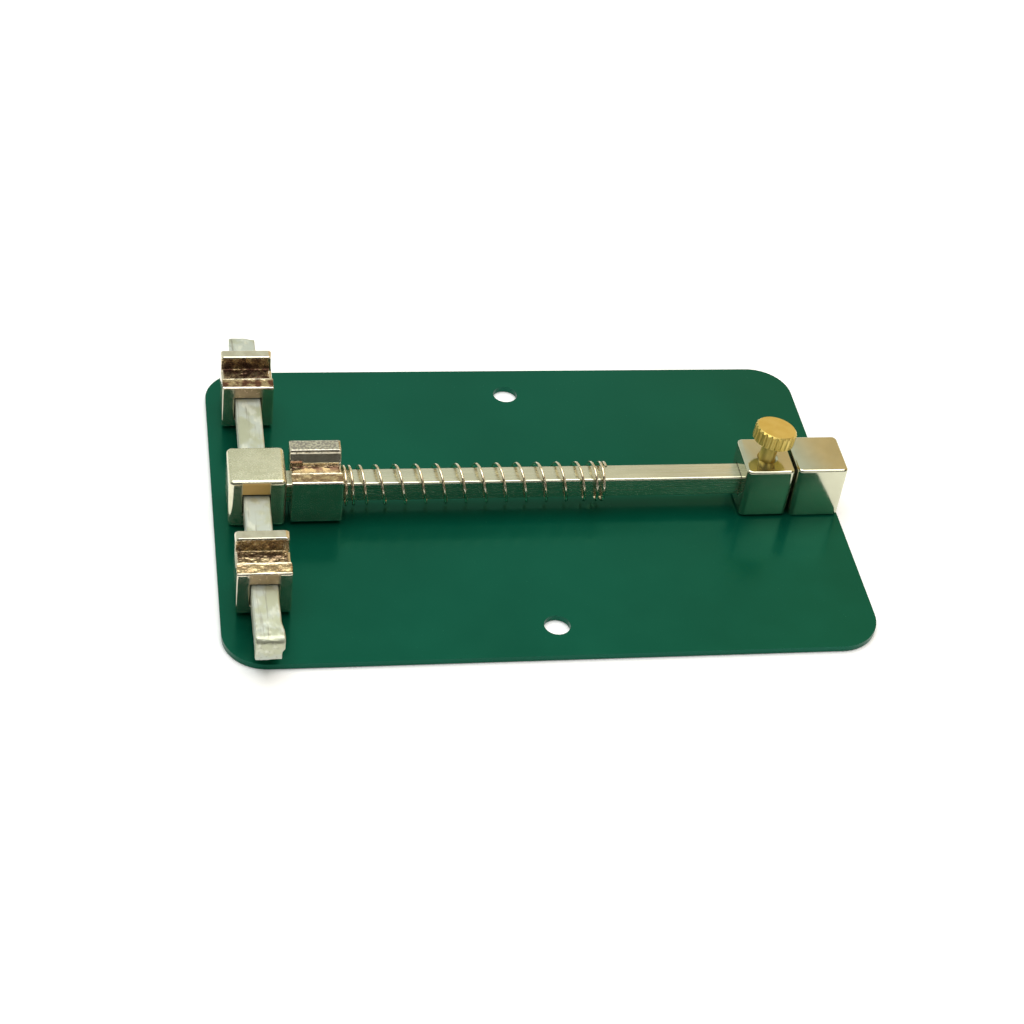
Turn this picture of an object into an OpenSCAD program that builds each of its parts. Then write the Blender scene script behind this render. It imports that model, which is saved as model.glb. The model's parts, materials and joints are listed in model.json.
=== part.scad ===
// Bench vise for small circuit boards: a painted plate carries a cross bar with two
// stepped clips, and a square rail with a stepped sliding jaw, a coil spring and a lock slider.
// Frame: millimetres, +X along the rail towards the lock slider, +Y to the rear, +Z up.
// The origin is at the centre of the plate's underside.

/* [Base plate] */
// Length of the plate along the rail
plate_length = 150; // [149:0.5:154]
// Depth of the plate from front to rear
plate_depth = 101; // [96:1:104]
// Thickness of the sheet
plate_thickness = 1.5; // [1.5:0.1:1.6]
// Radius of the plate's corners in plan
plate_corner_r = 10; // [4:1:16]
// Diameter of the two holes that bolt the plate down
mount_hole_d = 6; // [4:0.5:7]
// Distance between the two bolt-down holes, front to rear
mount_hole_spacing = 82; // [70:1:86]

/* [Fixed blocks] */
// Width of the left block along the rail
left_block_width = 13.2; // [13:0.1:13.4]
// Height of the left block's top above the plate's underside
left_block_top_z = 15; // [14:0.1:16]
// Width of the right block along the rail
right_block_width = 12.5; // [12:0.1:12.8]
// Height of the right block's top above the plate's underside
right_block_top_z = 15.8; // [14.5:0.1:16]
// Depth of both blocks from front to rear
block_depth = 12.8; // [12:0.1:14]
// Radius of the blocks' edges
block_edge_r = 0.9; // [0.4:0.1:1.1]

/* [Guide rail] */
// Side of the square rail
rail_side = 5.4; // [5:0.1:5.6]
// Height of the rail's centre line above the plate's underside
rail_z = 8.2; // [8:0.1:8.4]
// Radius of the rail's long edges
rail_edge_r = 0.5; // [0.2:0.1:0.8]
// Depth of the rail's socket in the left block
rail_socket = 2.8; // [2:0.1:3]

/* [Cross bar] */
// Side of the square cross bar
bar_side = 5.9; // [5.6:0.1:6]
// Length of the cross bar
bar_length = 105.2; // [104:0.1:110]
// Distance from the plate's centre to the cross bar's centre line
bar_offset = 65.45; // [65.3:0.05:65.6]
// Height of the cross bar's top above the plate's underside
bar_top_z = 10.9; // [10.7:0.1:11.1]
// How far the staked ends stand out at the sides
flare_out = 0.6; // [0.4:0.1:0.8]
// Height of the staked metal below the bar's top
flare_height = 3; // [2:0.1:4]

/* [Stepped jaws] */
// Width of each clip along the rail
clip_width = 12.2; // [11:0.1:12.4]
// Width of the rail jaw along the rail
rail_jaw_width = 11.9; // [11:0.1:12]
// Height of a jaw's underside above the plate's underside
jaw_bottom_z = 2.4; // [2:0.1:3]
// Height of the land on which a board's edge rests
land_z = 14.3; // [13.8:0.1:14.6]
// Height of the ridge that stands behind the board's edge
ridge_z = 17; // [16:0.1:18]
// Depth of the land from front to rear
land_depth = 3.8; // [3:0.1:4.5]
// Depth of the groove between the land and the ridge
groove_depth = 4.6; // [4:0.1:5]
// How far the groove's floor lies below the land
groove_drop = 0.9; // [0.5:0.1:1]
// Thickness of the two clips' ridge, front to rear
clip_ridge = 3; // [2.5:0.1:4]
// Thickness of the rail jaw's ridge, front to rear
rail_jaw_ridge = 3.9; // [3:0.1:4]
// How much shorter the groove is than the ridge at each end
groove_inset = 0.4; // [0.2:0.1:0.8]
// Front face of the front clip, measured forward of the plate's centre
front_clip_front = 35.6; // [33:0.1:38]
// Front face of the rear clip, measured to the rear of the plate's centre
rear_clip_front = 28.6; // [20:0.1:30]
// Left face of the rail jaw, measured left of the plate's centre
rail_jaw_left = 57.5; // [56:0.1:57.6]

/* [Lock slider and thumb screw] */
// Width of the lock slider along the rail
slider_width = 11.8; // [11:0.1:12]
// Depth of the lock slider from front to rear
slider_depth = 12.6; // [12:0.1:13]
// Height of the lock slider's top above the plate's underside
slider_top_z = 15.5; // [14.5:0.1:16]
// Gap between the lock slider and the right block
slider_gap = 0.6; // [0.4:0.1:1]
// Lean of the thumb screw towards the right block, in degrees
screw_lean_right = 8; // [0:1:10]
// Lean of the thumb screw to the rear, in degrees
screw_lean_rear = 6; // [0:1:10]
// Diameter of the thumb screw's threaded shank
shank_d = 4; // [3.5:0.5:4]
// Diameter of the knurled head
head_d = 10; // [8:0.1:10]
// Height of the knurled head
head_height = 3.8; // [3:0.1:5]
// Height of the shank that shows between the head and the lock slider
neck_height = 4.9; // [4:0.1:6]
// Number of grooves in the knurl
knurl_count = 24; // [16:1:30]

/* [Spring] */
// Outside diameter of the spring
spring_od = 9.6; // [9.4:0.1:10]
// Diameter of the spring wire
wire_d = 0.65; // [0.5:0.05:0.7]
// Free length of the spring
spring_length = 63; // [50:0.1:66]
// Number of turns, closed ends included
spring_turns = 16.5; // [12:0.5:18]

/* [Block screws] */
// Diameter of the screws that hold the blocks, the rail and the cross bar
screw_d = 3; // [2.5:0.5:3]
// Length of those screws
screw_length = 8; // [7:0.5:8]

/* [Hidden] */
$fn = 48;
cut = 1;                                   // how far a cutter runs past the face it cuts
slide_gap = 0.25;                          // clearance of a sliding piece round its bar
press_gap = 0.05;                          // clearance of a fixed piece in its socket
bar_x = -bar_offset;
bar_z = bar_top_z - bar_side / 2;
left_block_x = -65.2;
left_block_right = left_block_x + left_block_width / 2;
right_block_x = (plate_length - right_block_width) / 2;
right_block_left = right_block_x - right_block_width / 2;
rail_left_x = left_block_right - rail_socket;
rail_right_x = plate_length / 2 - 2;
rail_top_z = rail_z + rail_side / 2;
rail_jaw_x = -rail_jaw_left + rail_jaw_width / 2;
rail_jaw_right = -rail_jaw_left + rail_jaw_width;
jaw_depth = land_depth + groove_depth + rail_jaw_ridge;
slider_x = right_block_left - slider_gap - slider_width / 2;
slider_bottom_z = 1.8;
screw_axis_x = slider_x - 0.8;             // where the screw's axis meets the rail's top
screw_axis_y = -1.3;
dog_gap = 0.5;                             // from the screw's tip to the rail's top
dog_length = 0.9;                          // narrow point at the screw's tip
dog_r = 1.2;
csk_head_r = 2.75;                         // countersunk head of a block screw
csk_depth = 1.25;
csk_recess = 0.1;                          // how far the head lies inside the plate
screw_r = screw_d / 2 - press_gap;
left_screw_y = 3.3;                        // the two left screws stand either side of the rail
right_screw_step = 3;                      // the two right screws stand along the rail
left_screws = [[bar_x, -left_screw_y], [bar_x, left_screw_y]];
right_screws = [[right_block_x - right_screw_step, 0], [right_block_x + right_screw_step, 0]];

plate_green = [0.09, 0.36, 0.28];
nickel = [0.78, 0.75, 0.66];
zinc = [0.8, 0.82, 0.78];
brass = [0.83, 0.65, 0.3];
spring_steel = [0.85, 0.83, 0.78];

// ---- outlines and blocks ----

module rounded_rectangle(width, depth, r) {
    square([width - 2 * r, depth], center = true);
    square([width, depth - 2 * r], center = true);
    for (sx = [-1, 1], sy = [-1, 1])
        translate([sx * (width / 2 - r), sy * (depth / 2 - r)])
            circle(r = r);
}

// A block with every edge rounded, centred on the origin in plan, from z = bottom to z = top
module rounded_block(width, depth, bottom, top, r) {
    height = top - bottom;
    translate([0, 0, bottom + height / 2])
        intersection() {
            linear_extrude(height = height, center = true)
                rounded_rectangle(width, depth, r);
            rotate([90, 0, 0])
                linear_extrude(height = depth, center = true)
                    rounded_rectangle(width, height, r);
            rotate([90, 0, 90])
                linear_extrude(height = width, center = true)
                    rounded_rectangle(depth, height, r);
        }
}

// Cutter for a square rail's hole or socket, from x = left to x = right
module rail_bore(left, right, gap) {
    side = rail_side + 2 * gap;
    translate([(left + right) / 2, 0, rail_z])
        cube([right - left, side, side], center = true);
}

// ---- screws from beneath ----

module screw_bores(places, top_z) {
    for (at = places)
        translate([at[0], at[1], -cut])
            cylinder(h = top_z + cut, r = screw_d / 2);
}

// Countersink whose cone starts below the sheet, so that it cuts the underside cleanly
module countersink(at) {
    slope = (csk_head_r - screw_r) / csk_depth;
    top_z = csk_recess + csk_depth + press_gap;
    translate([at[0], at[1], -cut])
        cylinder(h = top_z + cut, r1 = screw_d / 2 + slope * (top_z + cut), r2 = screw_d / 2);
}

module countersunk_screw(at) {
    color(zinc)
        translate([at[0], at[1], csk_recess])
            difference() {
                union() {
                    cylinder(h = csk_depth, r1 = csk_head_r, r2 = screw_r);
                    cylinder(h = screw_length, r = screw_r);
                }
                cross_recess();
            }
}

// The driver's recess in a countersunk head
module cross_recess() {
    for (a = [0, 90])
        rotate([0, 0, a])
            cube([2.6, 0.7, 1.4], center = true);
}

module left_screw_front() {
    countersunk_screw(left_screws[0]);
}

module left_screw_rear() {
    countersunk_screw(left_screws[1]);
}

module right_screw_inner() {
    countersunk_screw(right_screws[0]);
}

module right_screw_outer() {
    countersunk_screw(right_screws[1]);
}

// ---- base ----

module base_plate() {
    screws = concat(left_screws, right_screws);
    color(plate_green)
        difference() {
            linear_extrude(height = plate_thickness)
                rounded_rectangle(plate_length, plate_depth, plate_corner_r);
            for (side = [-1, 1])
                translate([0, side * mount_hole_spacing / 2, -cut])
                    cylinder(h = plate_thickness + 2 * cut, r = mount_hole_d / 2);
            screw_bores(screws, plate_thickness + cut);
            for (at = screws)
                countersink(at);
        }
}

module left_block() {
    bar_side_gap = 0.3;
    bar_top_gap = 0.5;                     // the bar lies on its hole's floor
    color(nickel)
        difference() {
            translate([left_block_x, 0, 0])
                rounded_block(left_block_width, block_depth, plate_thickness, left_block_top_z,
                              block_edge_r);
            translate([bar_x, 0, bar_z + bar_top_gap / 2])
                cube([bar_side + 2 * bar_side_gap, block_depth + 2 * cut, bar_side + bar_top_gap],
                     center = true);
            rail_bore(rail_left_x, left_block_right + cut, press_gap);
            screw_bores(left_screws, bar_z);
        }
}

module right_block() {
    color(nickel)
        difference() {
            translate([right_block_x, 0, 0])
                rounded_block(right_block_width, block_depth, plate_thickness, right_block_top_z,
                              block_edge_r);
            rail_bore(right_block_left - cut, rail_right_x, press_gap);
            screw_bores(right_screws, rail_z);
        }
}

module guide_rail() {
    color(nickel)
        difference() {
            translate([rail_left_x, 0, rail_z])
                rotate([90, 0, 90])
                    linear_extrude(height = rail_right_x - rail_left_x)
                        rounded_rectangle(rail_side, rail_side, rail_edge_r);
            screw_bores(right_screws, csk_recess + screw_length + 0.2);
        }
}

// Plan of the bare bar about its own centre: both ends are cropped at the right
module cross_bar_plan() {
    half = bar_side / 2;
    tip = bar_length / 2;
    ease = 0.4;
    front_crop = 0.6;
    rear_crop = 1.1;
    rear_crop_length = 4.5;
    polygon([
        [-half, -tip + ease],
        [-half + ease, -tip],
        [half - front_crop - ease, -tip],
        [half - front_crop, -tip + ease],
        [half - front_crop, -tip + 3],
        [half, -tip + 3.6],
        [half, tip - rear_crop_length],
        [half - rear_crop, tip - rear_crop_length + 0.8],
        [half - rear_crop, tip - ease],
        [half - rear_crop - ease, tip],
        [-half + ease, tip],
        [-half, tip - ease]
    ]);
}

// Plan of the metal pushed out by staking an end, which stops the clips: it runs from
// the bar's middle to out beyond its side at x, between start and stop along the bar
module staked_lip(side, start, stop) {
    half = bar_side / 2;
    rise = 1.4;
    fall = 0.5;
    direction = stop > start ? 1 : -1;
    polygon([
        [side * (half - 1), start],
        [side * half, start],
        [side * (half + flare_out), start + direction * rise],
        [side * (half + flare_out), stop - direction * fall],
        [side * half, stop],
        [side * (half - 1), stop]
    ]);
}

module cross_bar() {
    tip = bar_length / 2;
    bar_bottom_z = bar_top_z - bar_side;
    color(zinc)
        difference() {
            translate([bar_x, 0, 0]) {
                translate([0, 0, bar_bottom_z])
                    linear_extrude(height = bar_side)
                        cross_bar_plan();
                translate([0, 0, bar_top_z - flare_height])
                    linear_extrude(height = flare_height) {
                        staked_lip(1, -tip + 6.2, -tip + 2.6);
                        staked_lip(-1, -tip + 6.2, -tip + 0.4);
                        staked_lip(-1, tip - 3.6, tip - 0.4);
                    }
            }
            screw_bores(left_screws, csk_recess + screw_length + 0.2);
        }
}

// ---- stepped jaws ----

// Side view of a stepped jaw from its front face at 0 to its rear face
module step_profile(ridge_depth) {
    ridge_front = land_depth + groove_depth;
    rear = ridge_front + ridge_depth;
    floor_z = land_z - groove_drop;
    ease = 0.3;                            // bevel along the jaw's long edges
    polygon([
        [ease, jaw_bottom_z],
        [rear - ease, jaw_bottom_z],
        [rear, jaw_bottom_z + ease],
        [rear, ridge_z - ease],
        [rear - ease, ridge_z],
        [ridge_front + ease, ridge_z],
        [ridge_front, ridge_z - ease],
        [ridge_front, floor_z],
        [land_depth, floor_z],
        [land_depth, land_z - ease],
        [land_depth - ease, land_z],
        [ease, land_z],
        [0, land_z - ease],
        [0, jaw_bottom_z + ease]
    ]);
}

// A jaw whose front face is at y = 0, centred on x = 0, with its groove set in at both ends
module stepped_jaw(width, ridge_depth) {
    inset_size = [2 * groove_inset, groove_depth, ridge_z];
    difference() {
        rotate([90, 0, 90])
            linear_extrude(height = width, center = true)
                step_profile(ridge_depth);
        for (side = [-1, 1])
            translate([side * width / 2, land_depth + groove_depth / 2,
                       land_z - groove_drop - 0.6 + ridge_z / 2])
                cube(inset_size, center = true);
    }
}

module clip(front_y) {
    hole = bar_side + 2 * slide_gap;
    color(nickel)
        translate([bar_x, front_y, 0])
            difference() {
                stepped_jaw(clip_width, clip_ridge);
                translate([0, 0, bar_z])
                    cube([hole, 40, hole], center = true);
            }
}

module front_clip() {
    clip(-front_clip_front);
}

module rear_clip() {
    clip(rear_clip_front);
}

module rail_jaw() {
    stop_size = [2.9, 1.5, 1.9];           // small stop at the groove's left end
    color(nickel)
        difference() {
            union() {
                translate([rail_jaw_x, -jaw_depth / 2, 0])
                    stepped_jaw(rail_jaw_width, rail_jaw_ridge);
                translate([-rail_jaw_left, jaw_depth / 2 - rail_jaw_ridge - stop_size[1],
                           land_z - groove_drop - 0.7])
                    cube(stop_size + [0, 0.1, 0]);
            }
            rail_bore(-rail_jaw_left - cut, rail_jaw_right + cut, slide_gap);
        }
}

// ---- lock slider and thumb screw ----

// Stands its children on the screw's axis, with z = 0 where the axis meets the rail's top
module on_screw_axis() {
    translate([screw_axis_x, screw_axis_y, rail_top_z])
        rotate([-screw_lean_rear, screw_lean_right, 0])
            children();
}

module lock_slider() {
    mouth_z = slider_top_z - rail_top_z;
    chamfer = 0.35;
    bore_r = shank_d / 2 + press_gap;
    color(nickel)
        difference() {
            translate([slider_x, 0, 0])
                rounded_block(slider_width, slider_depth, slider_bottom_z, slider_top_z,
                              block_edge_r);
            rail_bore(slider_x - slider_width, slider_x + slider_width, slide_gap);
            on_screw_axis() {
                cylinder(h = 12, r = bore_r);
                translate([0, 0, mouth_z - chamfer])
                    cylinder(h = 2 * chamfer, r1 = bore_r, r2 = bore_r + 2 * chamfer);
            }
        }
}

module thumb_screw() {
    head_base = slider_top_z - rail_top_z + neck_height;
    head_r = head_d / 2;
    collar_r = shank_d / 2 + 0.3;
    collar_height = 1.4;
    chamfer = 0.4;
    groove_r = 0.42;
    color(brass)
        on_screw_axis()
            difference() {
                union() {
                    translate([0, 0, dog_gap])
                        cylinder(h = head_base, r = dog_r);
                    translate([0, 0, dog_gap + dog_length])
                        cylinder(h = head_base - dog_gap - dog_length + 0.1, r = shank_d / 2);
                    translate([0, 0, head_base - collar_height])
                        cylinder(h = collar_height + 0.1, r = collar_r);
                    translate([0, 0, head_base])
                        cylinder(h = chamfer, r1 = head_r - chamfer, r2 = head_r);
                    translate([0, 0, head_base + chamfer])
                        cylinder(h = head_height - 2 * chamfer, r = head_r);
                    translate([0, 0, head_base + head_height - chamfer])
                        cylinder(h = chamfer, r1 = head_r, r2 = head_r - chamfer);
                }
                for (i = [0 : knurl_count - 1])
                    rotate([0, 0, i * 360 / knurl_count])
                        translate([head_r + 0.1, 0, head_base - cut])
                            cylinder(h = head_height + 2 * cut, r = groove_r, $fn = 16);
            }
}

// ---- spring ----

wire_sides = 8;
rings_per_turn = 14;
ring_count = round(spring_turns * rings_per_turn);
closed_pitch = 0.83;                       // pitch of the closed turns at each end
ramp_turns = 4.2;                          // turns over which the pitch opens out
start_turn = -0.25;                        // the wire starts underneath the rail
coil_r = (spring_od - wire_d) / 2;
centre_length = spring_length - wire_d;
open_pitch = (centre_length - closed_pitch * ramp_turns) / (spring_turns - ramp_turns);

// Distance along the spring after t turns, counted from the nearer end: the pitch eases
// from closed_pitch to open_pitch over ramp_turns
function end_advance(t) =
    let (
        u = min(t / ramp_turns, 1),
        eased = ramp_turns * (pow(u, 3) - pow(u, 4) / 2) + max(t - ramp_turns, 0)
    )
    closed_pitch * t + (open_pitch - closed_pitch) * eased;

function advance(t) =
    t < spring_turns / 2 ? end_advance(t) : centre_length - end_advance(spring_turns - t);

// One point of the wire's surface: ring i along the wire, side j round it
function wire_point(i, j) =
    let (
        t = spring_turns * i / ring_count,
        turn = 360 * (t + start_turn),
        around = 360 * j / wire_sides,
        r = coil_r + wire_d / 2 * cos(around)
    )
    [
        rail_jaw_right + wire_d / 2 + advance(t) + wire_d / 2 * sin(around),
        r * cos(turn),
        rail_z + r * sin(turn)
    ];

module clamp_spring() {
    points = [for (i = [0 : ring_count], j = [0 : wire_sides - 1]) wire_point(i, j)];
    skin = [
        for (i = [0 : ring_count - 1], j = [0 : wire_sides - 1])
            let (a = i * wire_sides + j, b = i * wire_sides + (j + 1) % wire_sides)
            [b, a, a + wire_sides, b + wire_sides]
    ];
    caps = [
        [for (j = [0 : wire_sides - 1]) j],
        [for (j = [wire_sides - 1 : -1 : 0]) ring_count * wire_sides + j]
    ];
    color(spring_steel)
        polyhedron(points = points, faces = concat(skin, caps));
}

base_plate();
left_block();
right_block();
guide_rail();
cross_bar();
front_clip();
rear_clip();
rail_jaw();
lock_slider();
thumb_screw();
clamp_spring();
left_screw_front();
left_screw_rear();
right_screw_inner();
right_screw_outer();
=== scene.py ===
"""Looks of the circuit board holder: camera, studio, finishes and the fine shapes of its pieces."""
import json
import math

import bmesh
import bpy
from mathutils import Matrix, Vector, noise


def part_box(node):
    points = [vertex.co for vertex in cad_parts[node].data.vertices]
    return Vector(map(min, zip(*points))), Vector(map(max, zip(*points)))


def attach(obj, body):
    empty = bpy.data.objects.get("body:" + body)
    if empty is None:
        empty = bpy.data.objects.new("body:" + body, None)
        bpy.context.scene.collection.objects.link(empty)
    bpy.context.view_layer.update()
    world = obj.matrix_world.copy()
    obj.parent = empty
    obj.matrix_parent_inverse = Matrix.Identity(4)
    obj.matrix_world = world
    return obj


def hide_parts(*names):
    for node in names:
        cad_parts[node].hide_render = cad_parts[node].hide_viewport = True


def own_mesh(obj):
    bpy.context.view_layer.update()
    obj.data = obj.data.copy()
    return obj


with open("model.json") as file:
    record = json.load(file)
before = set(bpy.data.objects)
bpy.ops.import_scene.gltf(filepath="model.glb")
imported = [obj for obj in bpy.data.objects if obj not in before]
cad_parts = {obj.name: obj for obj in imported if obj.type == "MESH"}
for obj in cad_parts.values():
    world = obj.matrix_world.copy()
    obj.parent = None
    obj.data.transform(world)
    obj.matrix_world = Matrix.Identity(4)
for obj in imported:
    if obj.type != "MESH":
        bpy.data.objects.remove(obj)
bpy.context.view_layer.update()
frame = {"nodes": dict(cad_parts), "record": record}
nodes = frame["nodes"]
scene = bpy.context.scene
MM = 0.001
UP = (0, 0, 1)
RAIL_Z, RAIL_HALF, RAIL_TOP = 8.2, 2.7, 10.9
BAR_X, BAR_HALF, BAR_Z, BAR_TOP = -65.45, 2.95, 7.95, 10.9
LAND_DEPTH, RIDGE_HEIGHT = 3.8, 2.7
WELD_DISTANCE, FLAT_DEGREES, SHARP_DEGREES = 2e-6, 0.4, 32


# ---- Camera --------------------------------------------------------------------------------------

def make_camera(place, azimuth, elevation, roll, lens):
    """A camera at place, in millimetres, that looks along azimuth (0 is +Y) and down by elevation.

    roll turns it about its own axis, and lens is its focal length. Angles are in degrees.
    """
    a, e, r = (math.radians(v) for v in (azimuth, elevation, roll))
    back = Vector((math.sin(a) * math.cos(e), -math.cos(a) * math.cos(e), math.sin(e)))
    right = (-back).cross(Vector(UP)).normalized()
    down = (-back).cross(right)
    rolled_right = right * math.cos(r) - down * math.sin(r)
    rolled_down = right * math.sin(r) + down * math.cos(r)
    data = bpy.data.cameras.new("camera")
    data.lens, data.sensor_width = lens, 36
    data.clip_start, data.clip_end = 0.01, 20
    camera = bpy.data.objects.new("camera", data)
    scene.collection.objects.link(camera)
    basis = Matrix((rolled_right, -rolled_down, back)).transposed()
    camera.matrix_world = Matrix.Translation(Vector(place) * MM) @ basis.to_4x4()
    scene.camera = camera


make_camera((-96.5, -373.7, 339.9), -13.906, 41.549, 8.214, 75.63)


# ---- Studio --------------------------------------------------------------------------------------

def area_light(name, place, target, size, watts, colour=(1, 1, 1)):
    """A soft box of that width and length, at place and facing target. All in metres."""
    data = bpy.data.lights.new(name, "AREA")
    data.shape, data.size, data.size_y = "RECTANGLE", size[0], size[1]
    data.energy, data.color = watts, colour
    lamp = bpy.data.objects.new(name, data)
    scene.collection.objects.link(lamp)
    lamp.location = Vector(place)
    lamp.rotation_mode = "QUATERNION"
    lamp.rotation_quaternion = (Vector(target) - Vector(place)).to_track_quat("-Z", "Y")


def make_world():
    """Soft surroundings: pale to the rear, dim at the front, warmer to the right, with no sharp shapes."""
    world = bpy.data.worlds.new("studio")
    world.use_nodes = True
    scene.world = world
    tree = world.node_tree
    tree.nodes.clear()
    coord = tree.nodes.new("ShaderNodeTexCoord")
    split = tree.nodes.new("ShaderNodeSeparateXYZ")
    tree.links.new(coord.outputs["Generated"], split.inputs[0])

    def ramp(axis, low, high):
        """0 to 1 along an axis of the surroundings, from low to high."""
        node = tree.nodes.new("ShaderNodeMapRange")
        node.interpolation_type = "SMOOTHSTEP"
        node.inputs["From Min"].default_value = low
        node.inputs["From Max"].default_value = high
        tree.links.new(split.outputs[axis], node.inputs["Value"])
        return node.outputs["Result"]

    rear = tree.nodes.new("ShaderNodeMix")
    rear.data_type = "RGBA"
    rear.inputs["A"].default_value = (0.78, 0.82, 0.72, 1)
    rear.inputs["B"].default_value = (0.88, 0.66, 0.34, 1)
    tree.links.new(ramp("X", 0.20, 0.34), rear.inputs["Factor"])
    whole = tree.nodes.new("ShaderNodeMix")
    whole.data_type = "RGBA"
    whole.inputs["A"].default_value = (0.10, 0.10, 0.09, 1)
    tree.links.new(ramp("Y", -0.35, 0.35), whole.inputs["Factor"])
    tree.links.new(rear.outputs["Result"], whole.inputs["B"])
    back = tree.nodes.new("ShaderNodeBackground")
    back.inputs["Strength"].default_value = 0.85
    tree.links.new(whole.outputs["Result"], back.inputs["Color"])
    out = tree.nodes.new("ShaderNodeOutputWorld")
    tree.links.new(back.outputs[0], out.inputs["Surface"])


def make_floor():
    """A plain pale floor just below the plate."""
    mesh = bpy.data.meshes.new("floor")
    half, below = 3.0, -0.2 * MM
    corners = [(-half, -half, below), (half, -half, below), (half, half, below), (-half, half, below)]
    mesh.from_pydata(corners, [], [(0, 1, 2, 3)])
    floor = bpy.data.objects.new("floor", mesh)
    scene.collection.objects.link(floor)
    return floor


make_world()
area_light("overhead", (0, 0.07, 0.85), (0, 0, 0), (0.95, 0.80), 7.0)
area_light("front_right", (0.42, -0.62, 0.62), (0.03, 0, 0), (0.35, 0.30), 0.6, (1.0, 0.97, 0.90))
scene.view_settings.view_transform = "Standard"
scene.view_settings.look = "None"


# ---- Finishes ------------------------------------------------------------------------------------

class Finish:
    """A Principled material with procedural colour, roughness and relief in the part's own space."""

    def __init__(self, name, metallic, **fixed):
        self.material = bpy.data.materials.new(name)
        self.material.use_nodes = True
        self.tree = self.material.node_tree
        self.tree.nodes.clear()
        self.shader = self.add("ShaderNodeBsdfPrincipled")
        out = self.add("ShaderNodeOutputMaterial")
        self.link(self.shader.outputs[0], out.inputs["Surface"])
        self.shader.inputs["Metallic"].default_value = metallic
        for socket, value in fixed.items():
            self.shader.inputs[socket.replace("_", " ")].default_value = value
        self.space = self.add("ShaderNodeTexCoord").outputs["Object"]
        self.normal = None

    def add(self, kind, **settings):
        node = self.tree.nodes.new(kind)
        for key, value in settings.items():
            setattr(node, key, value)
        return node

    def link(self, a, b):
        self.tree.links.new(a, b)

    def texture(self, kind, per_mm, stretch):
        """A texture node with that many features a millimetre; a stretch below 1 draws it out."""
        mapping = self.add("ShaderNodeMapping")
        mapping.inputs["Scale"].default_value = [1000 * per_mm * s for s in stretch]
        self.link(self.space, mapping.inputs["Vector"])
        node = self.add(kind)
        node.inputs["Scale"].default_value = 1.0
        self.link(mapping.outputs[0], node.inputs["Vector"])
        return node

    def noise(self, per_mm, detail=2, rough=0.5, stretch=(1, 1, 1)):
        node = self.texture("ShaderNodeTexNoise", per_mm, stretch)
        node.inputs["Detail"].default_value = detail
        node.inputs["Roughness"].default_value = rough
        return node.outputs["Fac"]

    def spots(self, per_mm):
        """Distance to the nearest of scattered points, for pits."""
        return self.texture("ShaderNodeTexVoronoi", per_mm, (1, 1, 1)).outputs["Distance"]

    def attribute(self, name):
        return self.add("ShaderNodeAttribute", attribute_name=name).outputs["Fac"]

    def between(self, value, low, high, to_low=0.0, to_high=1.0):
        """value from low to high, turned smoothly into to_low to to_high."""
        node = self.add("ShaderNodeMapRange", interpolation_type="SMOOTHSTEP")
        limits = {"From Min": low, "From Max": high, "To Min": to_low, "To Max": to_high}
        for socket, number in limits.items():
            node.inputs[socket].default_value = number
        self.link(value, node.inputs["Value"])
        return node.outputs["Result"]

    def reckon(self, operation, a, b):
        """A sum or product of a and b, which are numbers or sockets."""
        node = self.add("ShaderNodeMath", operation=operation)
        for value, socket in ((a, node.inputs[0]), (b, node.inputs[1])):
            if isinstance(value, (int, float)):
                socket.default_value = value
            else:
                self.link(value, socket)
        return node.outputs[0]

    def times(self, a, b):
        return self.reckon("MULTIPLY", a, b)

    def plus(self, a, b):
        return self.reckon("ADD", a, b)

    def mix(self, factor, a, b):
        """Colour a where factor is 0, b where it is 1; a and b are colours or sockets."""
        node = self.add("ShaderNodeMix", data_type="RGBA")
        self.link(factor, node.inputs["Factor"])
        for value, socket in ((a, node.inputs["A"]), (b, node.inputs["B"])):
            if isinstance(value, tuple):
                socket.default_value = (*value, 1)
            else:
                self.link(value, socket)
        return node.outputs["Result"]

    def colour(self, socket):
        self.link(socket, self.shader.inputs["Base Color"])

    def roughness(self, socket):
        self.link(socket, self.shader.inputs["Roughness"])

    def relief(self, height, depth_mm, strength=1.0):
        """Adds relief of that depth on top of what is already there."""
        node = self.add("ShaderNodeBump")
        node.inputs["Distance"].default_value = depth_mm * MM
        node.inputs["Strength"].default_value = strength
        self.link(height, node.inputs["Height"])
        if self.normal is not None:
            self.link(self.normal, node.inputs["Normal"])
        self.normal = node.outputs["Normal"]
        self.link(self.normal, self.shader.inputs["Normal"])


def green_paint():
    f = Finish("green_paint", 0.45, Specular_IOR_Level=0.12, Coat_Weight=0.05, Coat_Roughness=0.10)
    tone = f.noise(0.022, 2)
    speck = f.between(f.noise(2.6, 3), 0.68, 0.80)
    body = f.mix(f.between(tone, 0.3, 0.7), (0.0004, 0.090, 0.051), (0.0010, 0.103, 0.059))
    f.colour(f.mix(f.times(speck, 0.2), body, (0.04, 0.20, 0.13)))
    f.roughness(f.plus(f.between(f.noise(0.15, 3), 0.3, 0.7, 0.20, 0.25), f.times(speck, 0.1)))
    f.relief(f.noise(0.8, 0), 0.003)
    return f.material


def nickel():
    f = Finish("nickel", 0.95)
    tone = f.between(f.noise(0.16, 3), 0.3, 0.7)
    body = f.mix(tone, (0.57, 0.57, 0.43), (0.64, 0.64, 0.49))
    pits = f.between(f.spots(0.8), 0.03, 0.08, 1.0, 0.0)
    f.colour(f.mix(f.times(pits, 0.3), body, (0.30, 0.24, 0.15)))
    f.roughness(f.plus(f.between(f.noise(0.5, 4), 0.3, 0.8, 0.09, 0.15), f.times(pits, 0.1)))
    f.relief(f.noise(0.10, 1), 0.03, 0.5)
    return f.material


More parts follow.
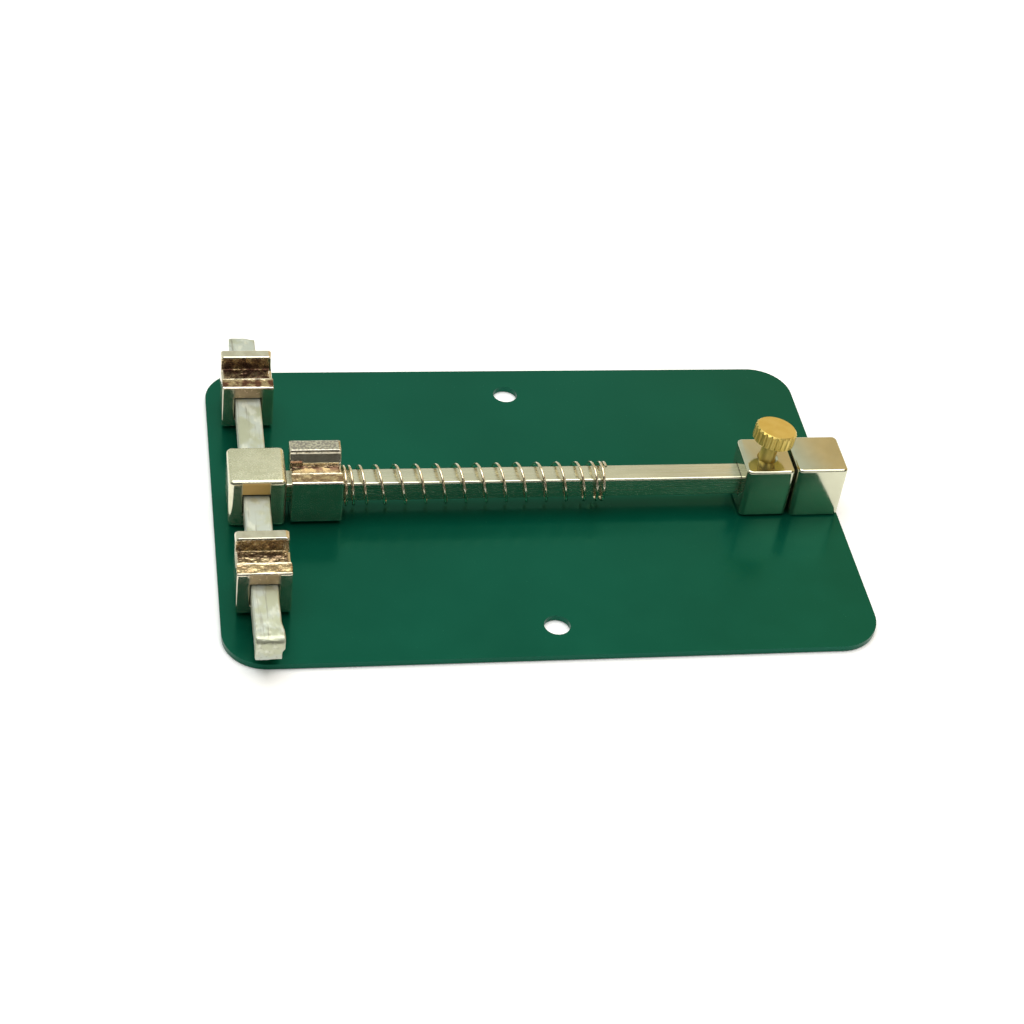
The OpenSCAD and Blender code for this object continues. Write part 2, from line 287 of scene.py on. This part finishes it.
def cast_nickel():
    f = Finish("cast_nickel", 0.90)
    grain = f.noise(2.4, 3, 0.55)
    facing = f.add("ShaderNodeSeparateXYZ")
    f.link(f.add("ShaderNodeTexCoord").outputs["Normal"], facing.inputs[0])
    place = f.add("ShaderNodeSeparateXYZ")
    f.link(f.space, place.inputs[0])
    upward = f.between(facing.outputs["Z"], 0.4, 0.9)
    body = f.mix(f.between(f.noise(0.3, 3), 0.3, 0.7), (0.66, 0.64, 0.46), (0.74, 0.72, 0.54))
    body = f.mix(f.times(upward, f.between(grain, 0.50, 0.70)), body, (0.84, 0.83, 0.62))
    # Painted shade: an amber, rougher and less metallic patch on the front face above the bar's bore.
    above = f.times(f.between(facing.outputs["Y"], -0.9, -0.6, 1, 0),
                    f.between(place.outputs["Z"], (BAR_TOP - 0.2) * MM, (BAR_TOP + 0.2) * MM))
    across = f.times(f.between(place.outputs["X"], (BAR_X - 3.6) * MM, (BAR_X - 3.0) * MM),
                     f.between(place.outputs["X"], (BAR_X + 2.8) * MM, (BAR_X + 3.4) * MM, 1, 0))
    brown_tint = f.times(above, across)
    f.colour(f.mix(brown_tint, body, (0.62, 0.40, 0.13)))
    f.roughness(f.plus(f.plus(f.between(f.noise(0.9, 3), 0.3, 0.7, 0.12, 0.20), f.times(upward, 0.10)),
                       f.times(brown_tint, 0.45)))
    f.relief(f.times(grain, f.plus(f.times(upward, 0.9), 0.1)), 0.022, 0.6)
    f.link(f.plus(f.times(brown_tint, -0.6), 0.90), f.shader.inputs["Metallic"])
    return f.material


def jaw_nickel():
    f = Finish("jaw_nickel", 0.95)
    groove = f.attribute("groove")
    brown_tint = f.between(f.noise(0.48, 4, 0.55), 0.42, 0.57)
    lump = f.noise(1.5, 4, 0.6)
    clean = f.mix(f.between(f.noise(0.4, 3), 0.3, 0.7), (0.68, 0.62, 0.48), (0.80, 0.75, 0.60))
    speckle = f.times(f.attribute("speckle"), f.between(f.noise(1.9, 3), 0.42, 0.58))
    clean = f.mix(speckle, clean, (0.42, 0.38, 0.33))
    # Brown cut faces: their own browning, made darker near the ridge's foot as painted shade in the groove.
    brown = f.times(f.attribute("brown_and_shade"), f.plus(f.times(brown_tint, 0.7), 0.3))
    rough_cut = f.mix(brown, (0.58, 0.45, 0.24), (0.12, 0.045, 0.025))
    # Painted shade: front faces just above the cross bar's bore turn brown and less metallic.
    mouth_shade = f.attribute("mouth_shade")
    f.colour(f.mix(f.times(mouth_shade, 0.75), f.mix(groove, clean, rough_cut), (0.58, 0.42, 0.24)))
    f.link(f.plus(f.times(mouth_shade, -0.55), 0.95), f.shader.inputs["Metallic"])
    f.roughness(f.plus(f.between(f.noise(0.9, 4), 0.3, 0.8, 0.08, 0.18), f.times(groove, 0.16)))
    f.relief(f.times(lump, f.plus(f.times(groove, 0.96), 0.04)), 0.07, 0.7)
    return f.material


def rail_nickel():
    f = Finish("rail_nickel", 0.95)
    drawn = f.noise(2.4, 3, 0.55, stretch=(0.02, 1, 1))
    tone = f.between(f.noise(0.10, 3, stretch=(0.4, 1, 1)), 0.3, 0.7)
    body = f.mix(tone, (0.60, 0.59, 0.46), (0.72, 0.71, 0.55))
    f.colour(f.mix(f.between(drawn, 0.60, 0.74), body, (0.54, 0.52, 0.38)))
    f.roughness(f.between(drawn, 0.3, 0.7, 0.22, 0.30))
    f.relief(drawn, 0.002, 0.4)
    return f.material


def zinc():
    f = Finish("zinc", 0.75)
    drawn = f.noise(1.2, 4, 0.6, stretch=(1, 0.06, 1))
    cloud = f.noise(0.22, 3, 0.55)
    body = f.mix(f.between(cloud, 0.40, 0.60), (0.50, 0.52, 0.38), (0.53, 0.57, 0.51))
    body = f.mix(f.between(f.noise(0.35, 3, stretch=(1, 0.5, 1)), 0.55, 0.70), body, (0.68, 0.70, 0.60))
    f.colour(f.mix(f.between(drawn, 0.56, 0.72), body, (0.33, 0.33, 0.27)))
    f.roughness(f.between(cloud, 0.3, 0.7, 0.36, 0.52))
    f.relief(drawn, 0.03, 0.6)
    f.relief(f.noise(1.6, 3), 0.02, 0.5)
    return f.material


def brass():
    f = Finish("brass", 0.8)
    tone = f.between(f.noise(0.35, 3), 0.3, 0.7)
    body = f.mix(tone, (0.68, 0.50, 0.12), (0.74, 0.57, 0.17))
    dull = f.between(f.noise(1.4, 4, 0.6), 0.58, 0.74)
    f.colour(f.mix(f.times(dull, 0.25), body, (0.60, 0.36, 0.09)))
    f.roughness(f.between(f.noise(1.2, 4), 0.3, 0.75, 0.32, 0.42))
    f.relief(f.noise(3.0, 2), 0.002, 0.5)
    return f.material


def spring_wire():
    f = Finish("spring_wire", 1.0)
    tone = f.between(f.noise(0.8, 3), 0.35, 0.65)
    f.colour(f.mix(tone, (0.66, 0.55, 0.38), (0.86, 0.80, 0.64)))
    f.roughness(f.between(f.noise(2.0, 3), 0.3, 0.7, 0.16, 0.28))
    f.relief(f.noise(5.0, 2), 0.006, 0.5)
    return f.material


def screw_zinc():
    f = Finish("screw_zinc", 1.0)
    tone = f.between(f.noise(0.9, 3), 0.35, 0.65)
    f.colour(f.mix(tone, (0.55, 0.56, 0.55), (0.70, 0.71, 0.68)))
    f.roughness(f.between(f.noise(2.0, 3), 0.3, 0.7, 0.26, 0.40))
    f.relief(f.noise(3.0, 3), 0.01, 0.6)
    return f.material


def floor_white():
    f = Finish("floor_white", 0.0)
    f.colour(f.mix(f.between(f.noise(0.004, 2), 0.3, 0.7), (0.955, 0.955, 0.955), (0.965, 0.965, 0.965)))
    f.roughness(f.between(f.noise(0.02, 2), 0.3, 0.7, 0.85, 0.95))
    f.shader.inputs["Specular IOR Level"].default_value = 0.0
    f.shader.inputs["Emission Color"].default_value = (1, 1, 1, 1)
    f.shader.inputs["Emission Strength"].default_value = 0.20
    return f.material


MAKERS = {"green_paint": green_paint, "nickel": nickel, "cast_nickel": cast_nickel, "jaw_nickel": jaw_nickel,
          "rail_nickel": rail_nickel, "zinc": zinc, "brass": brass, "spring_wire": spring_wire,
          "screw_zinc": screw_zinc}
FINISHES = {slot: make() for slot, make in MAKERS.items()}
SLOT_OF = {part["node"]: part["material_slot"] for part in frame["record"]["subparts"]}


def wear(obj, slot):
    """Gives obj that finish all over."""
    obj.data.materials.clear()
    obj.data.materials.append(FINISHES[slot])
    for polygon in obj.data.polygons:
        polygon.material_index = 0


floor = make_floor()
floor.data.materials.append(floor_white())
for name, obj in nodes.items():
    wear(obj, SLOT_OF[name])


# ---- CAD nodes that stay: only their edges are eased ---------------------------------------------

def ease_edges(name, width_mm, segments=2):
    """Joins the node's split corners and rounds its sharp edges, so that they catch the light."""
    obj = nodes[name]
    weld = obj.modifiers.new("weld", "WELD")
    weld.merge_threshold = WELD_DISTANCE
    flat = obj.modifiers.new("flat", "DECIMATE")
    flat.decimate_type = "DISSOLVE"
    flat.angle_limit = math.radians(FLAT_DEGREES)
    bevel = obj.modifiers.new("edges", "BEVEL")
    bevel.width = width_mm * MM
    bevel.segments = segments
    bevel.limit_method = "ANGLE"
    bevel.angle_limit = math.radians(SHARP_DEGREES)
    bevel.miter_outer = "MITER_ARC"
    shade = obj.modifiers.new("shade", "WEIGHTED_NORMAL")
    shade.weight = 60
    shade.keep_sharp = False


ease_edges("base_plate", 0.28, 3)
ease_edges("guide_rail", 0.10)
for name in ("left_screw_front", "left_screw_rear", "right_screw_inner", "right_screw_outer"):
    ease_edges(name, 0.08)


# ---- Pieces with finer shapes than the CAD -------------------------------------------------------

def copy_of(name, bevel_mm, longest_mm, segments):
    """A new mesh from a CAD node, with corners joined, sharp edges rounded and faces cut small."""
    mesh = nodes[name].data
    bm = bmesh.new()
    bm.from_mesh(mesh)
    bmesh.ops.remove_doubles(bm, verts=bm.verts, dist=WELD_DISTANCE)
    bmesh.ops.dissolve_limit(bm, angle_limit=math.radians(FLAT_DEGREES), verts=bm.verts, edges=bm.edges)
    sharp = [e for e in bm.edges
             if len(e.link_faces) == 2 and e.calc_face_angle() > math.radians(SHARP_DEGREES)]
    bmesh.ops.bevel(bm, geom=sharp, offset=bevel_mm * MM, offset_type="OFFSET", segments=segments,
                    profile=0.5, affect="EDGES", clamp_overlap=True)
    cut_small(bm, longest_mm)
    return bm


def cut_small(bm, longest_mm):
    """Cuts the faces until no edge is longer than that."""
    bmesh.ops.triangulate(bm, faces=bm.faces)
    for _ in range(9):
        long_edges = [e for e in bm.edges if e.calc_length() > longest_mm * MM]
        if not long_edges:
            break
        bmesh.ops.subdivide_edges(bm, edges=long_edges, cuts=1)
        bmesh.ops.triangulate(bm, faces=[f for f in bm.faces if len(f.verts) > 3])
    bm.normal_update()


def into_piece(bm, name, body, slot, stands_for, smooth_angle=40):
    """Turns the mesh into a shown piece that rides on body and stands for those CAD nodes."""
    mesh = bpy.data.meshes.new(name)
    bm.to_mesh(mesh)
    bm.free()
    obj = bpy.data.objects.new(name, mesh)
    scene.collection.objects.link(obj)
    mesh.set_sharp_from_angle(angle=math.radians(smooth_angle))
    for polygon in mesh.polygons:
        polygon.use_smooth = True
    mesh.materials.append(FINISHES[slot])
    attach(obj, body)
    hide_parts(*stands_for)
    return obj


def turbulence(p, per_mm, seed):
    """Smooth noise around 0, about -1 to 1, with that many features a millimetre."""
    increment, lacunarity, octaves = 1.0, 2.0, 3
    q = Vector(p) * (per_mm / MM) + Vector((seed * 7.3, seed * 3.1, seed * 5.7))
    return noise.fractal(q, increment, lacunarity, octaves, noise_basis="PERLIN_ORIGINAL")


def step(x, low, high):
    """0 up to low, 1 from high on, and smooth between them."""
    t = min(1.0, max(0.0, (x - low) / (high - low)))
    return t * t * (3 - 2 * t)


def bump(x, centre, width_mm):
    """1 at centre, falling off on both sides over about that width."""
    return math.exp(-((x - centre) / (width_mm * MM)) ** 2)


def round_corner(p, lo, hi, r):
    """Moves a point of a square top corner, seen along Y, onto a corner of radius r. All in metres."""
    mid = (lo.x + hi.x) / 2
    dx = abs(p.x - mid) - ((hi.x - lo.x) / 2 - r)
    dz = p.z - (hi.z - r)
    if dx > 0 and dz > 0:
        share = max(dx, dz) / math.hypot(dx, dz)
        p.x += (dx * share - dx) * (1 if p.x > mid else -1)
        p.z += dz * share - dz


def cast_jaw(node, piece, ridge_mm, seed, lumps_mm, pinch_mm, riser, brown_tint, corner_mm):
    """A clamping jaw, rough and stained on its land and groove, with painted shade towards the foot of its
    ridge, and with faint casting waves elsewhere.

    ridge_mm is the ridge's thickness, seed picks the noise and lumps_mm scales the roughness. pinch_mm is
    how much the groove has eaten into the jaw's right side. riser is how far the roughness climbs the ridge's
    front face, from 0 to 1; where it is 0 that face is smooth and slopes. stain is how brown the cut faces
    are, and corner_mm is the radius of the ridge's top corners.
    """
    lo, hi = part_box(node)
    bm = copy_of(node, 0.24, 0.42, segments=3)
    groove_layer = bm.verts.layers.float.new("groove")
    brown_and_shade_layer = bm.verts.layers.float.new("brown_and_shade")
    speckle_layer = bm.verts.layers.float.new("speckle")
    mouth_shade_layer = bm.verts.layers.float.new("mouth_shade")
    bar_lo, bar_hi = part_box("cross_bar")
    ridge_y, land_z = hi.y - ridge_mm * MM, hi.z - RIDGE_HEIGHT * MM
    land_y = lo.y + LAND_DEPTH * MM
    for v in bm.verts:
        p, n = v.co.copy(), v.normal.copy()
        high = step(p.z, land_z - 1.4 * MM, land_z - 0.8 * MM)
        ahead = 1 - step(p.y, ridge_y - 0.05 * MM, ridge_y + 0.15 * MM)
        inside = step(p.y, lo.y + 0.30 * MM, lo.y + 0.65 * MM)
        rim = 1 - bump(p.y, land_y, 0.48) * step(p.z, land_z - 0.5 * MM, land_z - 0.1 * MM)
        top_rim = 1 - step(p.z, hi.z - 0.45 * MM, hi.z - 0.2 * MM)
        groove = high * ahead * inside * rim * top_rim * step(n.z - n.y * 0.6 * riser, 0.0, 0.4)
        # Painted shade: this mask marks front faces just above the cross bar's bore, which are painted brown
        # and given rough relief.
        mouth_shade = step(-n.y, 0.7, 0.95) * step(p.z, bar_hi.z - 0.5 * MM, bar_hi.z + 0.3 * MM)
        if node != "rail_jaw":
            mouth_shade *= 1 - step(abs(p.x - (bar_lo.x + bar_hi.x) / 2), 2.8 * MM, 3.8 * MM)
            mouth_shade *= 1 - step(p.y, lo.y + 0.2 * MM, lo.y + 0.5 * MM)
            groove = max(groove, 0.8 * mouth_shade)
            v[mouth_shade_layer] = mouth_shade
        v[groove_layer] = groove
        # The cut faces' own browning, deepened towards the ridge's foot as painted shade in the groove.
        foot = bump(p.y, ridge_y - 1.5 * MM, 1.3)
        v[brown_and_shade_layer] = brown_tint * (0.6 + 0.4 * foot)
        v[speckle_layer] = step(p.z, hi.z - 0.1 * MM, hi.z) if node == "rail_jaw" else 0.0
        rough = (0.09 * turbulence(p, 0.75, seed) + 0.05 * turbulence(p, 2.2, seed + 1)) * lumps_mm
        wave = 0.014 * turbulence(p, 0.35, seed + 2)
        burr = bump(p.y, land_y - 0.15 * MM, 0.26) * step(n.z, 0.3, 0.8)
        moved = p + n * (rough * groove + wave * (1 - groove) - 0.02) * MM
        bite = bump(p.y, ridge_y - 1.6 * MM, 1.7) * step(p.z, land_z - 2.2 * MM, land_z)
        moved.x -= pinch_mm * MM * bite * step(p.x, hi.x - 2.2 * MM, hi.x)
        if land_z - 0.6 * MM < p.z < land_z + 0.3 * MM:
            moved.z += 0.20 * MM * burr
        if riser == 0.0 and abs(p.y - ridge_y) < 0.5 * MM and p.z > land_z - 1.1 * MM:
            moved.y -= 1.3 * MM * (1 - step(p.z, land_z - 0.9 * MM, hi.z - 0.1 * MM))
        for i in range(3):
            moved[i] = min(max(moved[i], lo[i]), hi[i])
        round_corner(moved, lo, hi, corner_mm * MM)
        v.co = moved
    into_piece(bm, piece, node, "jaw_nickel", [node])


cast_jaw("front_clip", "front_clip_cast", 3.0, 1, 1.6, 0.6, 1.0, 0.8, 1.1)
cast_jaw("rear_clip", "rear_clip_cast", 3.0, 5, 0.9, 0.9, 1.0, 1.6, 0.8)
cast_jaw("rail_jaw", "rail_jaw_cast", 3.9, 9, 0.7, 0.1, 0.0, 1.1, 0.4)


def box_mesh(lo, hi):
    """A new mesh of the box between two corners, in metres."""
    bm = bmesh.new()
    bmesh.ops.create_cube(bm, size=1)
    for v in bm.verts:
        v.co = [(lo[i] if v.co[i] < 0 else hi[i]) for i in range(3)]
    return bm


def join_rings(bm, rings):
    """Adds the faces between each ring of corners and the next, and the two ends."""
    sides = len(rings[0])
    for a, b in zip(rings, rings[1:]):
        for k in range(sides):
            bm.faces.new((a[k], a[(k + 1) % sides], b[(k + 1) % sides], b[k]))
    bm.faces.new(list(reversed(rings[0])))
    bm.faces.new(rings[-1])


def bored_block(node, piece, body, slot, upright_mm, rim_mm, bores):
    """A block with rounded uprights and rims, and its CAD node's bores, which are given as solid meshes."""
    lo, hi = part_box(node)
    bm = box_mesh(lo, hi)
    uprights = [e for e in bm.edges if abs(e.verts[0].co.z - e.verts[1].co.z) > 1e-4]
    bmesh.ops.bevel(bm, geom=uprights, offset=upright_mm * MM, offset_type="OFFSET", segments=8,
                    profile=0.5, affect="EDGES")
    rims = [e for e in bm.edges if all(v.co.z > hi.z - 1e-6 for v in e.verts)
            or all(v.co.z < lo.z + 1e-6 for v in e.verts)]
    bmesh.ops.bevel(bm, geom=rims, offset=rim_mm * MM, offset_type="OFFSET", segments=5, profile=0.5,
                    affect="EDGES")
    mesh = bpy.data.meshes.new(piece)
    bm.to_mesh(mesh)
    bm.free()
    solid = bpy.data.objects.new(piece + "_solid", mesh)
    scene.collection.objects.link(solid)
    for cutter in bores:
        cut = solid.modifiers.new("bore", "BOOLEAN")
        cut.operation, cut.solver, cut.object = "DIFFERENCE", "EXACT", cutter
    graph = bpy.context.evaluated_depsgraph_get()
    done = bmesh.new()
    done.from_object(solid, graph)
    for used in [solid, *bores]:
        bpy.data.objects.remove(used)
    into_piece(done, piece, body, slot, [node], 28)


def box_bore(lo, hi):
    """A solid box between two corners in millimetres."""
    return bore_object(box_mesh([x * MM for x in lo], [x * MM for x in hi]))


def round_bore(foot, axis, radii):
    """A solid turned about axis from foot. radii are (distance along the axis, radius), in millimetres."""
    turn = Vector(axis).to_track_quat("Z", "Y").to_matrix()
    sides = 48
    bm = bmesh.new()
    rings = []
    for along, r in radii:
        ring = []
        for k in range(sides):
            angle = 2 * math.pi * k / sides
            point = Vector(foot) + turn @ Vector((r * math.cos(angle), r * math.sin(angle), along))
            ring.append(bm.verts.new(point * MM))
        rings.append(ring)
    join_rings(bm, rings)
    return bore_object(bm)


def bore_object(bm):
    bmesh.ops.recalc_face_normals(bm, faces=bm.faces)
    mesh = bpy.data.meshes.new("bore")
    bm.to_mesh(mesh)
    bm.free()
    obj = bpy.data.objects.new("bore", mesh)
    scene.collection.objects.link(obj)
    return obj


def block_pieces():
    """The two fixed blocks and the lock slider."""
    fixed, loose = RAIL_HALF + 0.05, RAIL_HALF + 0.25
    block_side, rail_depth = -58.6, 2.8
    bored_block(
        "left_block", "left_block_cast", "base", "cast_nickel", 1.3, 1.0,
        [box_bore((BAR_X - BAR_HALF - 0.3, -8, BAR_Z - BAR_HALF),
                  (BAR_X + BAR_HALF + 0.3, 8, BAR_Z + BAR_HALF + 0.5)),
         box_bore((block_side - rail_depth, -fixed, RAIL_Z - fixed), (-57, fixed, RAIL_Z + fixed))]
        + [round_bore((BAR_X, y, 0), UP, ((0, 1.5), (BAR_Z, 1.5))) for y in (-3.3, 3.3)])
    bored_block(
        "right_block", "right_block_polished", "base", "nickel", 1.3, 0.6,
        [box_bore((61, -fixed, RAIL_Z - fixed), (73, fixed, RAIL_Z + fixed))]
        + [round_bore((68.75 + x, 0, 0), UP, ((0, 1.5), (RAIL_Z, 1.5))) for x in (-3, 3)])
    lean_x, lean_y = math.radians(8), math.radians(6)
    axis = (math.cos(lean_y) * math.sin(lean_x), math.sin(lean_y), math.cos(lean_y) * math.cos(lean_x))
    bored_block(
        "lock_slider", "lock_slider_polished", "lock_slider", "nickel", 1.3, 0.6,
        [box_bore((48, -loose, RAIL_Z - loose), (64, loose, RAIL_Z + loose)),
         round_bore((55.2, -1.3, RAIL_TOP), axis, ((0, 2.05), (4.25, 2.05), (4.95, 2.75), (12, 2.75)))])


block_pieces()


def coil_spring():
    """The clamp spring's centreline and wire: closed coils at both ends, and an even pitch between them."""
    wire, outer, start, length = 0.65, 9.6, -45.6, 63.0
    turns, closed, first = 16.5, 0.83, -0.25
    coil_r = (outer - wire) / 2
    lo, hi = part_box("clamp_spring")
    axis_z = (lo.z + hi.z) / 2
    axis_y = (lo.y + hi.y) / 2
    steps, sides = 56, 14
    total = int(turns * steps)

    def pitch_share(t):
        return step(t, 0.05, 4.3) * step(turns - t, 0.25, 3.9)

    shares = [pitch_share((i + 0.5) / steps) for i in range(total)]
    room = length - wire - closed * turns
    unit = room / (sum(shares) / steps)
    x, centres = start + wire / 2, []
    for i in range(total + 1):
        turn = 2 * math.pi * (first + i / steps)
        across, up = coil_r * math.cos(turn) * MM, coil_r * math.sin(turn) * MM
        centres.append(Vector((x * MM, axis_y + across, axis_z + up)))
        if i < total:
            x += (closed + unit * shares[i]) / steps
    return centres, wire, sides, axis_y, axis_z


def wire_mesh(centres, wire, sides, axis_y, axis_z):
    """A round tube along the coil's centreline, a little thinner at its two flat ends."""
    bm = bmesh.new()
    rings = []
    count = len(centres)
    for i, c in enumerate(centres):
        ahead = centres[min(i + 1, count - 1)] - centres[max(i - 1, 0)]
        tangent = ahead.normalized()
        out = Vector((0, c.y - axis_y, c.z - axis_z)).normalized()
        out = (out - tangent * out.dot(tangent)).normalized()
        side = tangent.cross(out)
        end = min(i, count - 1 - i)
        r = wire / 2 * MM * (0.86 if end == 0 else 1.0)
        angles = [2 * math.pi * k / sides for k in range(sides)]
        rings.append([bm.verts.new(c + (out * math.cos(a) + side * math.sin(a)) * r) for a in angles])
    join_rings(bm, rings)
    bmesh.ops.recalc_face_normals(bm, faces=bm.faces)
    return bm


spring = into_piece(wire_mesh(*coil_spring()), "spring_coil", "rail_jaw", "spring_wire", ["clamp_spring"])
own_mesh(spring)


def rough_bar():
    """The cross bar: drawn square stock with soft edges, worn and dented at both ends.

    The press has spread its front end to the right, and its rear end has a raised burr at the left.
    """
    lo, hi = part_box("cross_bar")
    core_lo = Vector((BAR_X - BAR_HALF, lo.y * 1000, BAR_Z - BAR_HALF)) * MM
    core_hi = Vector((BAR_X + BAR_HALF, hi.y * 1000, BAR_Z + BAR_HALF)) * MM
    bm = box_mesh(core_lo, core_hi)
    edges = [e for e in bm.edges
             if not all(v.co.y < core_lo.y + 1e-6 and v.co.z > core_hi.z - 1e-6 for v in e.verts)]
    bmesh.ops.bevel(bm, geom=edges, offset=0.32 * MM, offset_type="OFFSET", segments=3, profile=0.5,
                    affect="EDGES")
    cut_small(bm, 0.6)
    front_round = 1.8 * MM
    for v in bm.verts:
        p, n = v.co.copy(), v.normal.copy()
        y = p.y / MM
        upper = step(p.z, (BAR_Z - 0.9) * MM, (BAR_Z + 0.5) * MM)
        right = step(p.x, BAR_X * MM, (BAR_X + 2.6) * MM)
        left = step(-p.x, -BAR_X * MM, -(BAR_X - 2.6) * MM)
        spread = 0.1 * step(-y, 42.5, 46.0) + 0.9 * step(-y, 46.3, 50.5)
        burr = step(y, 48.2, 50.4)
        end = max(step(-y, 44, 49), step(y, 47, 50))
        ripple = 0.016 * turbulence(p, 0.30, 21) + 0.008 * turbulence(p, 1.2, 22)
        dent = 0.10 * turbulence(p, 0.40, 23) + 0.05 * turbulence(p, 1.1, 24) - 0.05
        moved = p + n * (ripple * (1 - end) + dent * end) * MM
        moved.x += (0.60 * spread * right * upper - 0.55 * burr * left * upper) * MM
        moved.y -= 0.5 * MM * right * step(y, 51.0, 52.4)
        dy, dz = core_lo.y + front_round - moved.y, moved.z - (core_hi.z - front_round)
        if dy > 0 and dz > 0:
            share = max(dy, dz) / math.hypot(dy, dz)
            moved.y += dy - dy * share
            moved.z -= dz - dz * share
        for i in range(3):
            moved[i] = min(max(moved[i], lo[i]), hi[i])
        v.co = moved
    into_piece(bm, "cross_bar_stock", "base", "zinc", ["cross_bar"])


rough_bar()
